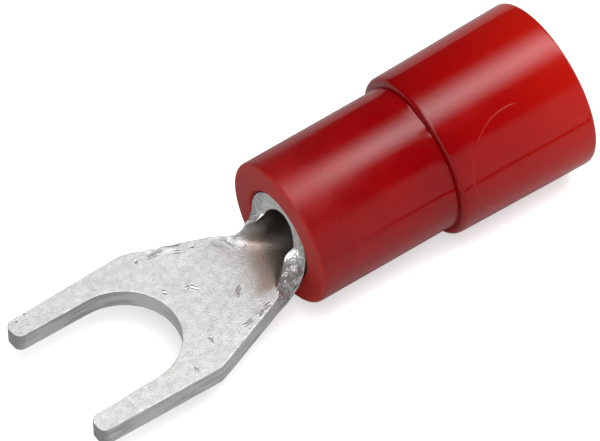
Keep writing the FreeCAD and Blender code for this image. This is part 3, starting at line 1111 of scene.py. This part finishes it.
def aim(thing, direction, distance):
    """Hang a lamp or a panel in a direction from the terminal, so that its -Z faces it."""
    towards = Vector(direction).normalized()
    thing.location = CAMERA_TARGET + towards * distance
    thing.rotation_euler = towards.to_track_quat("Z", "Y").to_euler()


def add_soft_light(name, direction, distance, length, width, watts):
    """Hang a soft box that faces the terminal, with its length along X."""
    light = bpy.data.lights.new(name, "AREA")
    light.energy = watts
    light.shape = "RECTANGLE"
    light.size = length
    light.size_y = width
    lamp = bpy.data.objects.new(name, light)
    aim(lamp, direction, distance)
    lamp.visible_glossy = False
    bpy.context.scene.collection.objects.link(lamp)


TENT_RADIUS = 280 * MM
TENT_LENGTH = 1200 * MM
TENT_EDGE_ANGLE = 97
TENT_ROWS = 48
TENT_GLOW = 0.03
STRIP_ANGLES = (-20, 8, 6, 48)
STRIP_GLOW = 5.4
FRONT_ANGLES = (-64, -50)
FRONT_GLOW = 0.5
EDGE_STRIP_LENGTH = 200 * MM
EDGE_STRIP_WIDTH = 3.4 * MM
EDGE_STRIP_Y = -15.6 * MM
EDGE_STRIP_LIFT = 0.03 * MM
BOX_DIRECTION = (0.1, -0.3, 1)
BOX_DISTANCE = 250 * MM
BOX_LENGTH = 300 * MM
BOX_WIDTH = 120 * MM
BOX_WATTS = 0.66


def arched_panel(name, radius, length, first_degrees, last_degrees, rows):
    """Bend a panel round the terminal's X axis; angles turn from straight above towards +Y."""
    shape = bmesh.new()
    bmesh.ops.create_grid(shape, x_segments=1, y_segments=rows, size=1)
    for vertex in shape.verts:
        angle = math.radians(between(first_degrees, last_degrees, (vertex.co.y + 1) / 2))
        x = CAMERA_TARGET.x + vertex.co.x * length / 2
        vertex.co = Vector((x, radius * math.sin(angle), CAMERA_TARGET.z + radius * math.cos(angle)))
    return place(shape, name)


def show_in_reflections_only(panel, glow=None):
    """Finish a panel matt black, with the given glow if any, seen by nothing but reflections."""
    material = new_material(panel.name)
    tree = material.node_tree
    shader = tree.nodes["Principled BSDF"]
    shader.inputs["Base Color"].default_value = (0, 0, 0, 1)
    shader.inputs["Specular IOR Level"].default_value = 0
    shader.inputs["Roughness"].default_value = 1
    shader.inputs["Emission Color"].default_value = (1, 1, 1, 1)
    shader.inputs["Emission Strength"].default_value = 0
    if glow:
        tree.links.new(glow(tree), shader.inputs["Emission Strength"])
    panel.data.materials.append(material)
    panel.visible_camera = False
    panel.visible_diffuse = False
    panel.visible_transmission = False
    panel.visible_shadow = False


def tent_glow(tree):
    """Return the tent's glow: dark, with a soft strip overhead and a paler front."""
    place_at = add_node(tree, "ShaderNodeTexCoord").outputs["Object"]
    parts = add_node(tree, "ShaderNodeSeparateXYZ", None, {"Vector": place_at}).outputs
    height = calculate(tree, "SUBTRACT", parts["Z"], CAMERA_TARGET.z)
    angle = calculate(tree, "ARCTAN2", parts["Y"], height)
    rise, top, end_of_top, fall = [math.radians(degrees) for degrees in STRIP_ANGLES]
    falling = fade(tree, angle, end_of_top, fall, 1.0, 0.0)
    strip = calculate(tree, "MULTIPLY", fade(tree, angle, rise, top, 0.0, STRIP_GLOW),
                      calculate(tree, "MULTIPLY", falling, falling))
    front_end, front_start = [math.radians(degrees) for degrees in FRONT_ANGLES]
    front = fade(tree, angle, front_end, front_start, FRONT_GLOW, TENT_GLOW)
    return calculate(tree, "ADD", strip, front)


def add_light_tent():
    """Hang a tent that gives the gloss its bright strip and dark sides, and a thin dark edge."""
    tent = arched_panel("light_tent", TENT_RADIUS, TENT_LENGTH, -TENT_EDGE_ANGLE, TENT_EDGE_ANGLE,
                        TENT_ROWS)
    show_in_reflections_only(tent, tent_glow)
    shape = bmesh.new()
    bmesh.ops.create_grid(shape, x_segments=1, y_segments=1, size=1)
    bmesh.ops.scale(shape, verts=shape.verts, vec=(EDGE_STRIP_LENGTH / 2, EDGE_STRIP_WIDTH / 2, 1))
    bmesh.ops.translate(shape, verts=shape.verts,
                        vec=(CAMERA_TARGET.x, EDGE_STRIP_Y, sleeve_low.z + EDGE_STRIP_LIFT))
    show_in_reflections_only(place(shape, "dark_strip"))


fork = make_fork()
fork.data.materials.append(tinned_metal())
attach(fork, "root")
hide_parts("fork_and_barrel")

sleeve = make_sleeve()
sleeve.data.materials.append(red_plastic())
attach(sleeve, "root")
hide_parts("insulating_sleeve")

add_floor()
add_world()
add_soft_light("overhead_soft_box", BOX_DIRECTION, BOX_DISTANCE, BOX_LENGTH, BOX_WIDTH, BOX_WATTS)
add_light_tent()
add_camera()
bpy.context.scene.view_settings.view_transform = "Standard"
